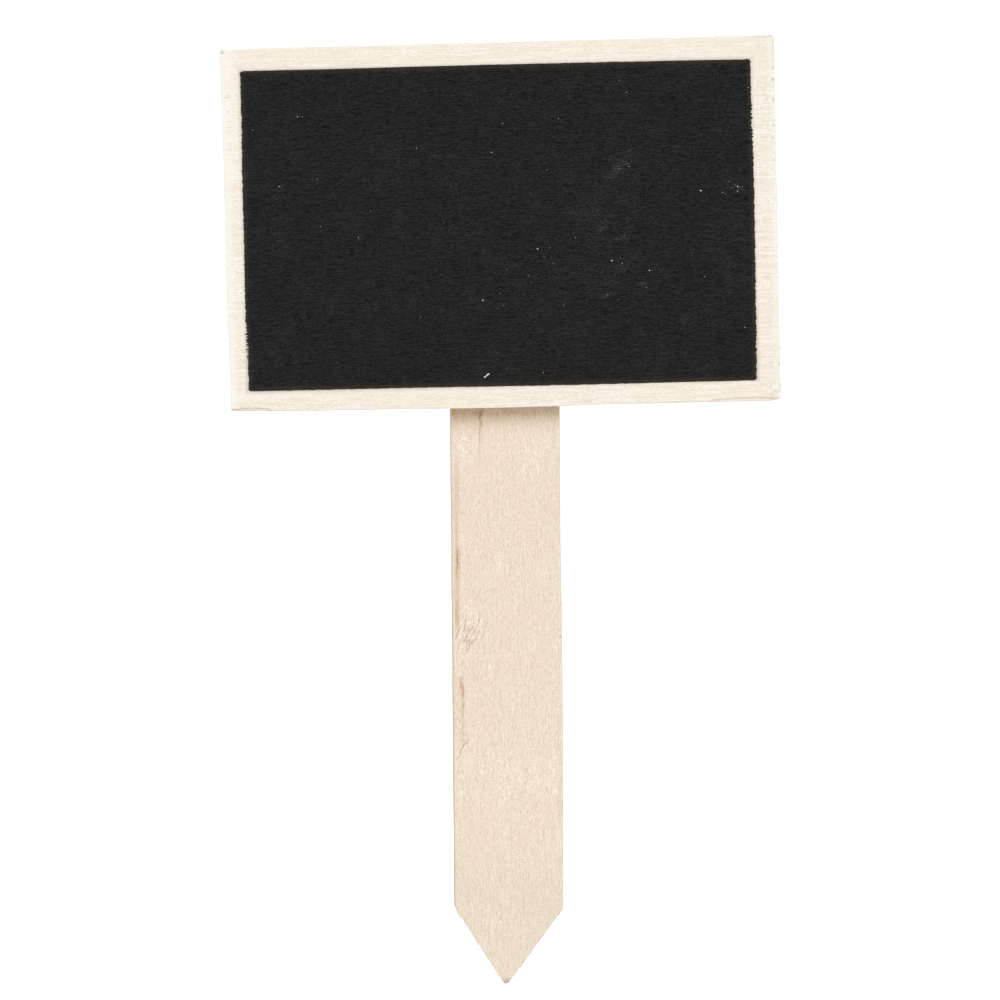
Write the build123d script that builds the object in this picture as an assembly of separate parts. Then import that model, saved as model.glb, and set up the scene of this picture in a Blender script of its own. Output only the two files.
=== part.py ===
from build123d import *

import os
from math import cos, radians, sin, tan

# Plant label stake. A small three-ply board carries a black chalk panel and is
# glued to the front of a flat wooden stake, whose foot is sawn to a point.
#
# +Z runs up the stake and the writing face looks towards -Y. The origin is on
# the stake's axis, at mid-thickness, level with the end of its nose.
# Lengths are in millimetres and angles in degrees.

# Stake
stake_width = 20.0
stake_thickness = 2.0
bare_stake_length = 104.75
stake_overlap = 45.25
stake_arris = 0.35

# Point: two saw cuts, each at its own angle to the stake's axis. They would
# meet off the axis, and the nose between them is worn round.
left_cut_angle = 32.1
right_cut_angle = 36.5
point_offset = -0.7
nose_radius = 0.55

# Board
board_width = 100.15
board_height = 66.1
face_veneer_thickness = 0.9
core_veneer_thickness = 1.0
back_veneer_thickness = 0.9
ply_glue_thickness = 0.1
board_corner_radius = 0.5
board_arris = 0.2

# Saw wander: how much further out one end of a sawn edge lies than the other.
# The sides spread towards the top, and top and bottom towards the right.
left_edge_wander = 0.57
right_edge_wander = 0.33
top_edge_wander = 0.19
bottom_edge_wander = 0.19

# Chalk coat: screened on the face a little off centre. Its right side spreads
# towards the top and its bottom towards the right, as the screen had stretched.
panel_width = 92.5
panel_height = 58.15
panel_right_wander = 0.15
panel_bottom_wander = 0.16
panel_shift = -0.48
panel_drop = 0.21
panel_corner_radius = 0.35
coat_thickness = 0.12

# Seat of the board on the stake, as it was glued by hand
board_shift = -0.31
board_lean = 0.87
stake_glue_thickness = 0.15
glue_setback = 1.2

# Worked out from the sizes above
stake_length = bare_stake_length + stake_overlap
board_centre_height = bare_stake_length + board_height / 2
board_back_depth = stake_thickness / 2 + stake_glue_thickness

# Where the board's outline lies in the front view
board_seat = Pos(board_shift, board_centre_height) * Rot(Z=board_lean)


def in_front(outline, depth, thickness):
    """A layer with this front-view outline, from depth to depth + thickness before the stake's mid-plane."""
    return extrude(Plane.XZ.offset(depth) * outline, amount=thickness)


def cut_meeting_height():
    """Height at which the two saw cuts would meet, so that the nose rounded between them ends at zero.

    The nose's centre lies up the bisector of the cuts, at the radius over the sine of half their angle.
    """
    half_angle = radians(left_cut_angle + right_cut_angle) / 2
    bisector_tilt = radians(right_cut_angle - left_cut_angle) / 2
    return nose_radius - nose_radius * cos(bisector_tilt) / sin(half_angle)


def stake_outline():
    """Front view of the stake: a straight strip, two unequal cuts and a round nose."""
    side = stake_width / 2
    meeting = cut_meeting_height()
    left_shoulder = meeting + (side + point_offset) / tan(radians(left_cut_angle))
    right_shoulder = meeting + (side - point_offset) / tan(radians(right_cut_angle))
    strip = Polyline(
        (-side, stake_length),
        (-side, left_shoulder),
        (point_offset, meeting),
        (side, right_shoulder),
        (side, stake_length),
        close=True,
    )
    outline = make_face(strip)
    nose = outline.vertices().sort_by(Axis.Y)[0]
    return fillet(nose, radius=nose_radius)


def make_stake():
    """The stake, with its four long edges sanded round and its saw cuts left sharp."""
    strip = in_front(stake_outline(), -stake_thickness / 2, stake_thickness)
    return fillet(strip.edges().filter_by(Axis.Z), radius=stake_arris)


def board_outline(setback=0):
    """Front view of the board about its own centre: a rectangle sawn slightly out of square.

    With a setback, the plain four-sided outline that lies that far inside the sawn edges.
    """
    side = board_width / 2 - setback
    rise = board_height / 2 - setback
    corners = Polyline(
        (-side - left_edge_wander / 2, rise - top_edge_wander / 2),
        (side + right_edge_wander / 2, rise + top_edge_wander / 2),
        (side - right_edge_wander / 2, -rise - bottom_edge_wander / 2),
        (-side + left_edge_wander / 2, -rise + bottom_edge_wander / 2),
        close=True,
    )
    return make_face(corners)


def make_board():
    """The three veneers and the glue films between them, stacked from the stake's face forwards."""
    sawn = board_outline()
    sawn = board_seat * fillet(sawn.vertices(), radius=board_corner_radius)
    stack = {
        "back_veneer": back_veneer_thickness,
        "rear_ply_glue": ply_glue_thickness,
        "core_veneer": core_veneer_thickness,
        "front_ply_glue": ply_glue_thickness,
        "face_veneer": face_veneer_thickness,
    }
    layers = {}
    depth = board_back_depth
    for name, thickness in stack.items():
        layers[name] = in_front(sawn, depth, thickness)
        depth += thickness
    layers["face_veneer"] = ease(layers["face_veneer"].faces().sort_by(Axis.Y)[0])
    layers["back_veneer"] = ease(layers["back_veneer"].faces().sort_by(Axis.Y)[-1])
    return layers, depth


def ease(outer_face):
    """The veneer that this outer face belongs to, with the arris around the face sanded round."""
    return fillet(outer_face.edges(), radius=board_arris)


def make_chalk_coat(depth):
    """The black film on the face veneer, inside a border of bare wood."""
    side = panel_width / 2
    rise = panel_height / 2
    corners = Polyline(
        (-side, rise),
        (side + panel_right_wander / 2, rise),
        (side - panel_right_wander / 2, -rise - panel_bottom_wander / 2),
        (-side, -rise + panel_bottom_wander / 2),
        close=True,
    )
    panel = make_face(corners)
    panel = board_seat * Pos(panel_shift, -panel_drop) * fillet(panel.vertices(), radius=panel_corner_radius)
    return in_front(panel, depth, coat_thickness)


def make_stake_glue():
    """The squeezed film that holds the board: where stake and board overlap, less a setback all round."""
    strip_width = stake_width - 2 * glue_setback
    strip_length = stake_length - glue_setback
    strip = Pos(0, strip_length / 2) * Rectangle(strip_width, strip_length)
    contact = strip & (board_seat * board_outline(glue_setback))
    return in_front(contact, stake_thickness / 2, stake_glue_thickness)


board_layers, board_front_depth = make_board()
pieces = {
    "stake": make_stake(),
    "stake_glue": make_stake_glue(),
    **board_layers,
    "chalk_coat": make_chalk_coat(board_front_depth),
}

os.makedirs("parts", exist_ok=True)
for name, piece in pieces.items():
    piece.label = name
    export_step(piece, f"parts/{name}.step")
    print(f"{name}: {piece.volume:.1f} mm3")
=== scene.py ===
# %% [markdown]
# # A plant label stake
#
# The real object is two pieces of pale wood and a patch of black paint. A small
# plywood board, printed with chalkboard paint, is glued to the front of a flat
# stake whose foot is sawn to a point. The construction comes in ready made as the
# frame. This lesson gives every surface its looks: sawn and sanded edges, fibres,
# torn grain, the ragged edge of the print and a little chalk.
#
# Wood that lies flat and pale in plain light has no strong feature to carry a
# picture, so it is the small unevenness that makes it look real. Where such
# unevenness has a shape it is modelled here, and only what is finer than a fifth
# of a millimetre is left to the materials.

# %% Load the frame
from math import cos, hypot, pi, radians, sin, tan

import bpy
import numpy as np
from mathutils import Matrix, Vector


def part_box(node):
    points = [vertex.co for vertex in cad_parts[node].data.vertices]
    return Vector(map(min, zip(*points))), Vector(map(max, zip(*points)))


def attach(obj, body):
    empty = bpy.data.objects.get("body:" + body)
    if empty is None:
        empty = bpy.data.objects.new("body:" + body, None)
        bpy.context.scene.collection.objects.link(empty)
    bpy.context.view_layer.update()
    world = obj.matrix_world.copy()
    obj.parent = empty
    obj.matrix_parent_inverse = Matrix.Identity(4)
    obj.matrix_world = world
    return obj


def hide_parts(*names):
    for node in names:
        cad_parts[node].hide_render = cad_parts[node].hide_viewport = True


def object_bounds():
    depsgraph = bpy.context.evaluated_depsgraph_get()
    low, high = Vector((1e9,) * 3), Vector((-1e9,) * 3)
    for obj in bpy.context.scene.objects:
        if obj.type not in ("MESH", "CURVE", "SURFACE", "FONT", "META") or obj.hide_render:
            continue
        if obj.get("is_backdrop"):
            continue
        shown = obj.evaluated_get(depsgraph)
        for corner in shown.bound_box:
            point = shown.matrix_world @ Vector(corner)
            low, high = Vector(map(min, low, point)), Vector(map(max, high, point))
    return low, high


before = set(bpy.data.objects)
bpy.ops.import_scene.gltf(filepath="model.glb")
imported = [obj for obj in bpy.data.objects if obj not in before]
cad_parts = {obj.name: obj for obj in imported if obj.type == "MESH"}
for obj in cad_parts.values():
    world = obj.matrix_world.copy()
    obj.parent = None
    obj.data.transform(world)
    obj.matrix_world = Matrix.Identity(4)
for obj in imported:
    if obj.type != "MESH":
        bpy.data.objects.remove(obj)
cad_low, cad_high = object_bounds()
mm = 0.001
print("frame holds", sorted(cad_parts))

# %% [markdown]
# ## The sizes
#
# The pieces keep the places and sizes of the construction. What a box can tell,
# such as the depth of each layer, is read from the frame. What it can't tell, such
# as the angles of the two saw cuts, is repeated here as the maker would measure it.

# %% Sizes of the stake and the board
left_cut_angle = radians(32.1)
right_cut_angle = radians(36.5)
point_offset = -0.7 * mm
nose_radius = 0.55 * mm
stake_arris = 0.35 * mm
bare_stake_length = 104.75 * mm

board_width = 100.15 * mm
board_height = 66.1 * mm
board_arris = 0.2 * mm
left_edge_wander = 0.57 * mm
right_edge_wander = 0.33 * mm
top_edge_wander = 0.19 * mm
bottom_edge_wander = 0.19 * mm
board_shift = -0.31 * mm
board_lean = radians(0.87)
board_centre_height = bare_stake_length + board_height / 2

panel_width = 92.5 * mm
panel_height = 58.15 * mm
panel_right_wander = 0.15 * mm
panel_bottom_wander = 0.16 * mm
panel_shift = -0.48 * mm
panel_drop = 0.21 * mm
panel_corner_radius = 0.35 * mm

stake_low, stake_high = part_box("stake")
stake_half_width = (stake_high.x - stake_low.x) / 2
stake_length = stake_high.z
print(f"stake {2 * stake_half_width / mm:.1f} mm wide and {stake_length / mm:.1f} mm long")

# %% [markdown]
# ## Unevenness worked out in numbers
#
# Nothing on cut wood is regular, yet nothing on it is noise alike in all
# directions either: fibres run one way. The helpers below give smooth random
# heights on a lattice. Dividing one direction by the length of a fibre and the
# other by its width stretches the lattice along the grain. Every call has a seed,
# so the wood comes out the same each time.

# %% Smooth random heights
lattice_size = 512


def smoothstep(t):
    """The curve 3t^2 - 2t^3, which leaves 0 and reaches 1 without a corner; t is held between 0 and 1."""
    t = np.clip(t, 0, 1)
    return t * t * (3 - 2 * t)


def uneven(u, v, seed):
    """Random heights from -1 to 1: numbers drawn at whole (u, v) and blended between them by smoothstep."""
    lattice = np.random.default_rng(seed).uniform(-1, 1, (lattice_size, lattice_size))
    column, row = np.floor(u).astype(int), np.floor(v).astype(int)
    across, up = smoothstep(u - column), smoothstep(v - row)
    here, right = column % lattice_size, (column + 1) % lattice_size
    low, high = row % lattice_size, (row + 1) % lattice_size
    lower = lattice[here, low] * (1 - across) + lattice[right, low] * across
    upper = lattice[here, high] * (1 - across) + lattice[right, high] * across
    return lower * (1 - up) + upper * up


def uneven_line(u, seed):
    """Random heights along one line, from -1 to 1."""
    return uneven(u, np.zeros_like(u), seed)


def fibres(along, across, length, width, seed):
    """Streaks along the grain: random heights stretched to a fibre's length and width.

    A second layer is half as long and 2.3 times as thin, and weighs about a third.
    """
    coarse = uneven(along / length, across / width, seed)
    fine = uneven(2 * along / length, 2.3 * across / width, seed + 1)
    return 0.65 * coarse + 0.35 * fine


sample = fibres(*np.random.default_rng(1).uniform(0, 1, (2, 999)), 10 * mm, 1 * mm, 3)
print(f"fibre heights run from {sample.min():.2f} to {sample.max():.2f}")

# %% [markdown]
# A few more shapes come back often: a soft spot, a rounded edge, a line through a
# few marks, and a list of places whose spacing changes. Fine spacing costs faces,
# so it is spent only where something small is to be seen.

# %% Spots, rounded edges and graded spacing


def patch(x, z, centre_x, centre_z, half_width, half_length):
    """A soft-edged spot: 1 at its centre, falling as exp(-(dx/w)^2 - (dz/l)^4) to 0 outside."""
    return np.exp(-(((x - centre_x) / half_width) ** 2) - ((z - centre_z) / half_length) ** 4)


def spots(x, z, places):
    """The strongest of many spots, each given by its centre, half width, half length (in mm) and force."""
    strongest = np.zeros_like(x)
    for *place, force in places:
        strongest = np.maximum(strongest, force * patch(x, z, *(mm * value for value in place)))
    return strongest


def rounding(distance, radius):
    """How far a rounded edge has drawn back at this distance from its end: r - sqrt(r^2 - (r - d)^2)."""
    short = radius - np.clip(distance, 0, radius)
    return radius - np.sqrt(np.maximum(radius**2 - short**2, 0))


def marked(place, marks, **ends):
    """Straight lines between a few marked points, whose places and values are listed in mm."""
    return np.interp(place, *(mm * np.array(row) for row in marks), **ends)


def graded(stops, steps, thinning=1):
    """Places from the first stop to the last, about a step apart. A stretch holds a multiple of thinning."""
    runs = []
    for first, last, step in zip(stops, stops[1:], steps):
        count = thinning * max(1, round((last - first) / step / thinning))
        runs.append(np.linspace(first, last, count, endpoint=False))
    return np.concatenate([*runs, stops[-1:]])


# %% [markdown]
# ## One way to make every layer
#
# Stake, veneers, glue films and paint are all the same kind of thing: a flat piece
# with a front, a back and four edges. A cube with a bevel would be quick, but its
# edges could not wander and its faces could not carry relief. Here a section, the
# ring round the piece at one height, is carried up the piece. The ring knows which
# of its points lie on the front, on an eased corner, on a side or on the back, so
# the outline and the depths can change from ring to ring.

# %% The ring of a section
corner_steps = 3
side_steps = 4


def ring_template(columns, thinning):
    """The ring as shares, counter-clockwise seen from above, starting at the front left.

    across runs 0 to 1 from left to right and deep 0 to 1 from front to back. The other four say how many
    front or back arris radii a point is drawn in sideways and in depth. The back keeps only one column in
    so many, because its finer unevenness is left to the material.
    """
    turn = np.linspace(0, pi / 2, corner_steps + 2)[1:-1]
    side = np.linspace(0, 1, side_steps)
    none, one = np.zeros(len(turn)), np.ones(len(turn))
    rear = columns[::thinning][::-1]
    front = [columns, 0 * columns, 1 - 2 * columns, 0 * columns, 0 * columns, 0 * columns]
    front_right = [one, none, np.sin(turn) - 1, none, 1 - np.cos(turn), none]
    right = [1 + 0 * side, side, 0 * side, 0 * side, 1 - side, -side]
    back_right = [one, one, none, np.cos(turn) - 1, none, np.sin(turn) - 1]
    back = [rear, 1 + 0 * rear, 0 * rear, 1 - 2 * rear, 0 * rear, 0 * rear]
    back_left = [none, one, none, 1 - np.sin(turn), none, np.cos(turn) - 1]
    left = [0 * side, 1 - side, 0 * side, 0 * side, side, side - 1]
    front_left = [none, none, 1 - np.cos(turn), none, 1 - np.sin(turn), none]
    runs = [front, front_right, right, back_right, back, back_left, left, front_left]
    return [np.concatenate(parts) for parts in zip(*runs)]


print("a ring with 9 columns has", len(ring_template(np.linspace(0, 1, 9), 2)[0]), "points")

# %% Points of a slab


def slab_points(shares, template, outline, depths, arris):
    """Places of every ring's points, the share of the depth where each lies, and its distance from the edge.

    The outline's left and right hold one place for each ring; its bottom and top are functions of the place
    across. depths are the front's and the back's, and arris the radii of their eased edges.
    """
    across, deep, in_front, in_back, down_front, down_back = template
    left, right, bottom, top = outline
    left, right, front, back = (side[:, None] for side in (left, right, *depths))
    front_arris, back_arris = (np.broadcast_to(radius, shares.shape)[:, None] for radius in arris)
    x = left * (1 - across) + right * across + front_arris * in_front + back_arris * in_back
    y = front * (1 - deep) + back * deep + front_arris * down_front + back_arris * down_back
    z = bottom(x) * (1 - shares[:, None]) + top(x) * shares[:, None]
    edge = np.minimum(np.minimum(x - left, right - x), np.minimum(z - bottom(x), top(x) - z))
    return x, y, z, deep, edge


# %% Faces of a slab


def end_faces(ring, columns, thinning):
    """Faces that close one end. Each joins a stretch of the front to one step of the back, or ends a side."""
    n = len(columns)
    back_start = n + 2 * corner_steps + side_steps
    front = ring[:n].tolist()
    back = ring[back_start : back_start + (n - 1) // thinning + 1][::-1].tolist()
    across = [
        [*front[i : i + thinning + 1], back[j + 1], back[j]]
        for j, i in enumerate(range(0, n - 1, thinning))
    ]
    right = ring[n - 1 : back_start + 1].tolist()
    left = [*ring[back_start + len(back) - 1 :].tolist(), front[0]]
    return [*across, right, left]


def slab_faces(rings, points, columns, thinning):
    """Quads between neighbouring rings, and the faces that close both ends."""
    index = np.arange(rings * points).reshape(rings, points)
    after = np.roll(index, -1, axis=1)
    walls = np.stack([index[:-1], after[:-1], after[1:], index[1:]], axis=-1).reshape(-1, 4).tolist()
    foot = [face[::-1] for face in end_faces(index[0], columns, thinning)]
    return [*walls, *foot, *end_faces(index[-1], columns, thinning)]


# %% A piece from points and faces
sharp_angle = radians(32)


def finished_piece(name, points, faces, marks):
    """A piece from points and faces, smooth but for real corners, with named values kept on its points."""
    mesh = bpy.data.meshes.new(name)
    mesh.from_pydata(points.reshape(-1, 3), [], faces)
    for key, value in marks.items():
        layer = mesh.attributes.new(key, "FLOAT", "POINT")
        layer.data.foreach_set("value", value.astype(np.float32).ravel())
    mesh.polygons.foreach_set("use_smooth", np.ones(len(mesh.polygons), bool))
    mesh.set_sharp_from_angle(angle=sharp_angle)
    mesh.update()
    piece = bpy.data.objects.new(name, mesh)
    bpy.context.scene.collection.objects.link(piece)
    print(f"{name}: {len(mesh.vertices)} points, {len(mesh.polygons)} faces")
    return piece


def slab(name, shares, columns, thinning, outline, depths, arris, relief, marks, seat=None):
    """A closed slab. relief sinks the front, and marks are values kept on the points for the material.

    Both are functions of the place across and up in the slab's own upright frame, and fade to nothing through
    its thickness. seat puts it in place.
    """
    template = ring_template(columns, thinning)
    x, y, z, deep, edge = slab_points(shares, template, outline, depths, arris)
    y = y + relief(x, z) * (1 - deep)
    kept = {key: mark(x, z) * (1 - deep) for key, mark in marks.items()}
    x, z = seat(x, z) if seat else (x, z)
    faces = slab_faces(len(shares), x.shape[1], columns, thinning)
    return finished_piece(name, np.stack([x, y, z], axis=-1), faces, {**kept, "edge": edge})


# %% [markdown]
# ## The stake
#
# A strip about as thick as a matchstick, peeled and sawn from birch. Two saw
# cuts make its point, each at its own angle, and the nose between them is rounded
# by the first push into a box of others. Saws lift fibres, so the cuts have small
# steps, most of them near the shoulders. The cuts are straight lines in height, and
# the nose is the circle that touches both: below the touching points the outline
# follows the circle.

# %% Outline of the stake
cut_half_angle = (left_cut_angle + right_cut_angle) / 2
bisector_tilt = (right_cut_angle - left_cut_angle) / 2
meeting_height = nose_radius - nose_radius * cos(bisector_tilt) / sin(cut_half_angle)
nose_centre = point_offset + nose_radius * sin(bisector_tilt) / sin(cut_half_angle)
left_shoulder = meeting_height + (stake_half_width + point_offset) / tan(left_cut_angle)
right_shoulder = meeting_height + (stake_half_width - point_offset) / tan(right_cut_angle)
cut_bow = 0.16 * mm
saw_roughness, saw_step = 0.03 * mm, 0.5 * mm
side_wander, side_wander_length = 0.03 * mm, 9 * mm


def lifted_fibres(height, teeth):
    """How far fibres stand out from a cut: each grows downwards over its length and breaks at its place."""
    out = np.zeros_like(height)
    for place, length, reach in teeth:
        along = 1 - (height / mm - place) / length
        out += np.where((along > 0) & (along <= 1), reach * mm * along, 0)
    return out


def cut_edge(height, angle, side, shoulder, teeth, seed, wave=([0], [0])):
    """Distance of one edge from the axis: the strip's side or the saw cut, whichever is inner, then the nose.

    Sanding has left the cut a little bowed: it stands out most half way up, by the bow times 4t(1 - t). The
    strip's side waves by a few marked amounts. On the nose the edge is the circle x = sqrt(r^2 - (r - h)^2).
    """
    reach = side * point_offset + (height - meeting_height) * tan(angle)
    share = np.clip(height / shoulder, 0, 1)
    rough = saw_roughness * uneven_line(height / saw_step, seed) - lifted_fibres(height, teeth)
    cut = reach + cut_bow * 4 * share * (1 - share) - np.where(height < shoulder, rough, 0)
    strip = stake_half_width - side_wander * (1 + uneven_line(height / side_wander_length, seed + 5))
    strip = strip + marked(height, wave)
    on_nose = np.sqrt(np.maximum(nose_radius**2 - (nose_radius - height) ** 2, 0)) + side * nose_centre
    return np.where(height < nose_radius * (1 - sin(angle)), on_nose, np.minimum(cut, strip))


# %% Edges of the stake
stake_thinning = 9
stake_stops = np.array([0.008, 0.4, 1.2, 14.5, 33, 41, 59, 68, 94, 105.5, stake_length / mm]) * mm
stake_steps = np.array([0.05, 0.1, 0.12, 0.4, 0.25, 0.2, 0.12, 0.3, 0.3, 2]) * mm
stake_heights = graded(stake_stops, stake_steps)
stake_columns = graded([0, 0.34, 1], [0.0055, 0.018], stake_thinning)
left_teeth = [
    (11.95, 2.4, 0.34), (10.9, 0.9, 0.06), (6.85, 2.2, 0.06), (4.4, 1.2, 0.1), (1.4, 1.0, 0.1),
]
right_teeth = [
    (13.0, 1.3, 0.22), (12.25, 0.7, 0.32), (11.4, 0.8, 0.12), (8.3, 0.8, 0.14), (5.8, 1.8, -0.2),
    (2.9, 0.9, 0.18), (1.4, 1.0, 0.1),
]
right_wave = ([15, 23, 37, 51.5, 66, 80.5, 94], [-0.1, -0.07, 0.05, 0.09, 0.1, -0.07, 0.01])
stake_left = -cut_edge(stake_heights, left_cut_angle, -1, left_shoulder, left_teeth, 11)
stake_right = cut_edge(stake_heights, right_cut_angle, 1, right_shoulder, right_teeth, 12, right_wave)
print(f"shoulders at {left_shoulder / mm:.2f} and {right_shoulder / mm:.2f} mm, {len(stake_heights)} rings")

# %% [markdown]
# ### Torn grain
#
# The face is peeled wood, barely sanded. Near the left edge the knife met a swirl
# in the grain and tore it: slivers curl down to the left like the barbs of a
# feather, with gaps between them. Noise would give a blurred patch, so each sliver
# is placed: the two ends of its chord, how far it bows, and its half width. A
# little further down a long sliver has split off altogether, and the hollow it left
# ends in a slanting lip, which is one more sliver.

# %% Where slivers are torn
torn_slivers = [
    (-4.55, 66.6, -5.15, 64.9, 0.05, 0.2), (-5.45, 65.0, -6.9, 63.2, -0.12, 0.24),
    (-6.75, 63.5, -7.6, 62.2, 0.05, 0.17), (-5.1, 64.7, -6.05, 63.2, -0.05, 0.15),
    (-3.9, 64.0, -4.6, 62.2, 0.06, 0.16), (-5.2, 63.2, -6.4, 61.5, 0.05, 0.14),
    (-6.55, 62.5, -6.8, 60.9, 0.05, 0.13), (-7.8, 62.6, -8.8, 59.8, -0.12, 0.24),
    (-6.2, 61.8, -7.6, 59.5, 0.1, 0.2), (-8.0, 64.9, -8.85, 62.3, -0.1, 0.34),
    (-7.3, 65.4, -7.7, 63.9, 0.05, 0.2), (-8.3, 62.2, -8.9, 60.9, 0.0, 0.15),
    (-5.9, 66.9, -5.95, 65.4, 0.0, 0.1), (-3.8, 66.1, -3.95, 64.4, 0.0, 0.08),
    (-3.1, 63.6, -3.2, 62.3, 0.0, 0.07), (-6.7, 44.6, -7.35, 43.5, 0.06, 0.17),
    (-7.2, 43.8, -8.4, 42.1, -0.05, 0.24), (-8.3, 42.5, -8.9, 40.6, 0.12, 0.15),
]
swirl = (-6.6, 63.0, 2.2, 3.3, 1.0)
barb_angle = radians(51)
tear_depth = 0.2 * mm
split_x = -8.0 * mm
split_top, split_foot = 58 * mm, 42.45 * mm
lip_slope = 1.72
split_depth = 0.1 * mm
split_wander, split_wander_length = 0.12 * mm, 5 * mm
split_fade = 6 * mm
sliver_raggedness, sliver_tear_length = 0.07 * mm, 0.3 * mm
gap_offset, gap_width, gap_share = 1.3, 0.8, 0.6
barb_strength, barb_contrast, barb_threshold = 0.8, 2.5, 0.3
ripple_depth = 0.013 * mm
figure_depth = 0.007 * mm

# %% Torn slivers and the split


def sliver(x, z, place):
    """Crest and gap of one sliver, both from 0 to 1.

    share is the way along the chord, and aside the distance to the right of the bowed, ragged line. The crest
    falls off evenly to both sides, the gap lies along its left, and both thin out towards the ends.
    """
    x0, z0, x1, z1, bow, half_width = (mm * value for value in place)
    length = hypot(x1 - x0, z1 - z0)
    along_x, along_z = (x1 - x0) / length, (z1 - z0) / length
    share = np.clip(((x - x0) * along_x + (z - z0) * along_z) / length, 0, 1)
    ragged = sliver_raggedness * uneven(x / sliver_tear_length, z / sliver_tear_length, 35)
    aside = (z - z0) * along_x - (x - x0) * along_z - 4 * bow * share * (1 - share) + ragged
    taper = np.sin(pi * share) ** 0.6
    crest = taper * np.clip(1 - np.abs(aside) / half_width, 0, 1)
    gap = taper * np.clip(1 - np.abs(aside + gap_offset * half_width) / (gap_width * half_width), 0, 1)
    return crest, gap


def barbs(x, z):
    """Fine barbs on the ground between the slivers: they run down to the left and fade at the swirl's rim."""
    along = x * cos(barb_angle) + z * sin(barb_angle)
    aside = z * cos(barb_angle) - x * sin(barb_angle)
    return fibres(along, aside, 0.8 * mm, 0.22 * mm, 37) * spots(x, z, [swirl])


def torn(x, z):
    """Crests and gaps of all slivers together, and of the barbs, which are weaker."""
    crests, gaps = zip(*(sliver(x, z, place) for place in torn_slivers))
    ground = barb_contrast * barbs(x, z)
    crest = np.max([*crests, barb_strength * smoothstep(ground - barb_threshold)], axis=0)
    gap = np.max([*gaps, barb_strength * smoothstep(-ground - barb_threshold)], axis=0)
    return crest, gap


def split(x, z):
    """The hollow where a sliver is missing: left of a line up the grain and above the slanting lip."""
    line = split_x + split_wander * uneven_line(z / split_wander_length, 23)
    beside = smoothstep((line - x) / (0.2 * mm))
    over_lip = smoothstep((z - split_foot - lip_slope * (x - split_x)) / (0.4 * mm))
    return beside * over_lip * smoothstep((split_top - z) / split_fade)


def stake_relief(x, z):
    """Depth of the stake's face below its highest fibres: ripples, fine figure, the tear and the split."""
    ripple = ripple_depth * (1 + fibres(z, x, 9 * mm, 0.8 * mm, 31))
    figure = figure_depth * (1 + uneven(x / (0.7 * mm), z / (1.1 * mm), 33))
    crest, gap = torn(x, z)
    hollow = tear_depth * spots(x, z, [swirl]) * (1 - crest) + gap_share * tear_depth * gap
    return ripple + figure + hollow + split_depth * split(x, z) * (1 - crest)


print(f"{len(torn_slivers)} slivers on {len(stake_heights)} rings of {len(stake_columns)} columns")

# %% [markdown]
# ### Stains, painted highlights and painted shadow
#
# Birch carries thin rusty streaks where sap has dried, and pale flecks where fibres
# stand up and catch the light. That light is painted: the flecks and the crests of
# the torn slivers are painted highlights, the gaps between the slivers are painted
# shadow, and the streaks just under the board also darken the board's shadow, which
# is painted shade. A texture could scatter them at random, but on a strip 20 mm
# wide they are few and each has its place, so they are listed as a maker would mark
# them. A value on the points carries them to the material, which decides on the
# colour.

# %% Where stains and flecks lie
# The spots at heights 103.5 to 104.3 mm, just under the board, and the broad one at (-8.0, 104.0) are rusty
# stains that also deepen and warm the board's shadow on the stake: partly painted shade.
streak_and_shade_spots = [
    (-9.25, 103.75, 0.35, 0.5, 0.45), (-7.55, 103.7, 0.3, 0.4, 0.45), (-8.3, 103.9, 0.45, 0.35, 0.25),
    (-6.4, 103.8, 0.8, 0.5, 0.2), (-5.3, 103.7, 0.6, 0.45, 0.35), (-4.2, 104.25, 0.32, 0.35, 1.0),
    (-4.35, 103.6, 0.4, 0.5, 0.9), (-4.6, 102.9, 0.28, 0.5, 0.75), (-4.3, 101.7, 0.3, 0.7, 0.55),
    (-4.6, 99.6, 0.13, 1.6, 0.65), (-4.7, 97.3, 0.1, 1.3, 0.4), (-5.4, 100.4, 0.09, 0.6, 0.35),
    (0.1, 103.95, 0.5, 0.35, 0.3), (1.6, 103.8, 0.8, 0.4, 0.25), (3.4, 103.5, 0.14, 0.35, 0.55),
    (4.1, 103.5, 0.2, 0.4, 0.4), (8.0, 104.0, 0.7, 0.4, 0.14), (-8.45, 90.5, 0.07, 4.2, 0.3),
    (-8.87, 77.2, 0.15, 2.3, 1.0), (-8.45, 77.3, 0.22, 2.6, 0.25), (-8.93, 74.2, 0.16, 1.0, 0.6),
    (-8.95, 81.5, 0.08, 2.6, 0.25), (-9.0, 70.5, 0.12, 2.0, 0.3), (-9.0, 67.5, 0.35, 2.8, 0.24),
    (-8.0, 104.0, 3.2, 2.6, 0.14), (-7.2, 65.1, 0.3, 0.3, 0.4), (-7.05, 64.0, 0.2, 0.45, 0.6),
    (-8.35, 55.2, 0.2, 0.8, 0.5), (-8.25, 54.1, 0.26, 0.8, 0.9), (-8.05, 53.4, 0.18, 1.7, 1.0),
    (-8.3, 50.3, 0.35, 1.9, 0.2), (-8.0, 50.7, 0.17, 0.8, 0.6), (-8.0, 49.0, 0.12, 1.2, 0.35),
    (-8.02, 45.4, 0.1, 2.6, 0.4), (0.25, 40.7, 0.3, 0.3, 0.22), (3.3, 38.8, 0.3, 0.25, 0.22),
    (3.2, 36.5, 0.3, 0.3, 0.25), (9.5, 87.0, 0.25, 3.0, 0.15), (9.73, 62.9, 0.12, 0.2, 0.7),
    (9.6, 36.0, 0.25, 7.0, 0.2),
]
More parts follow.
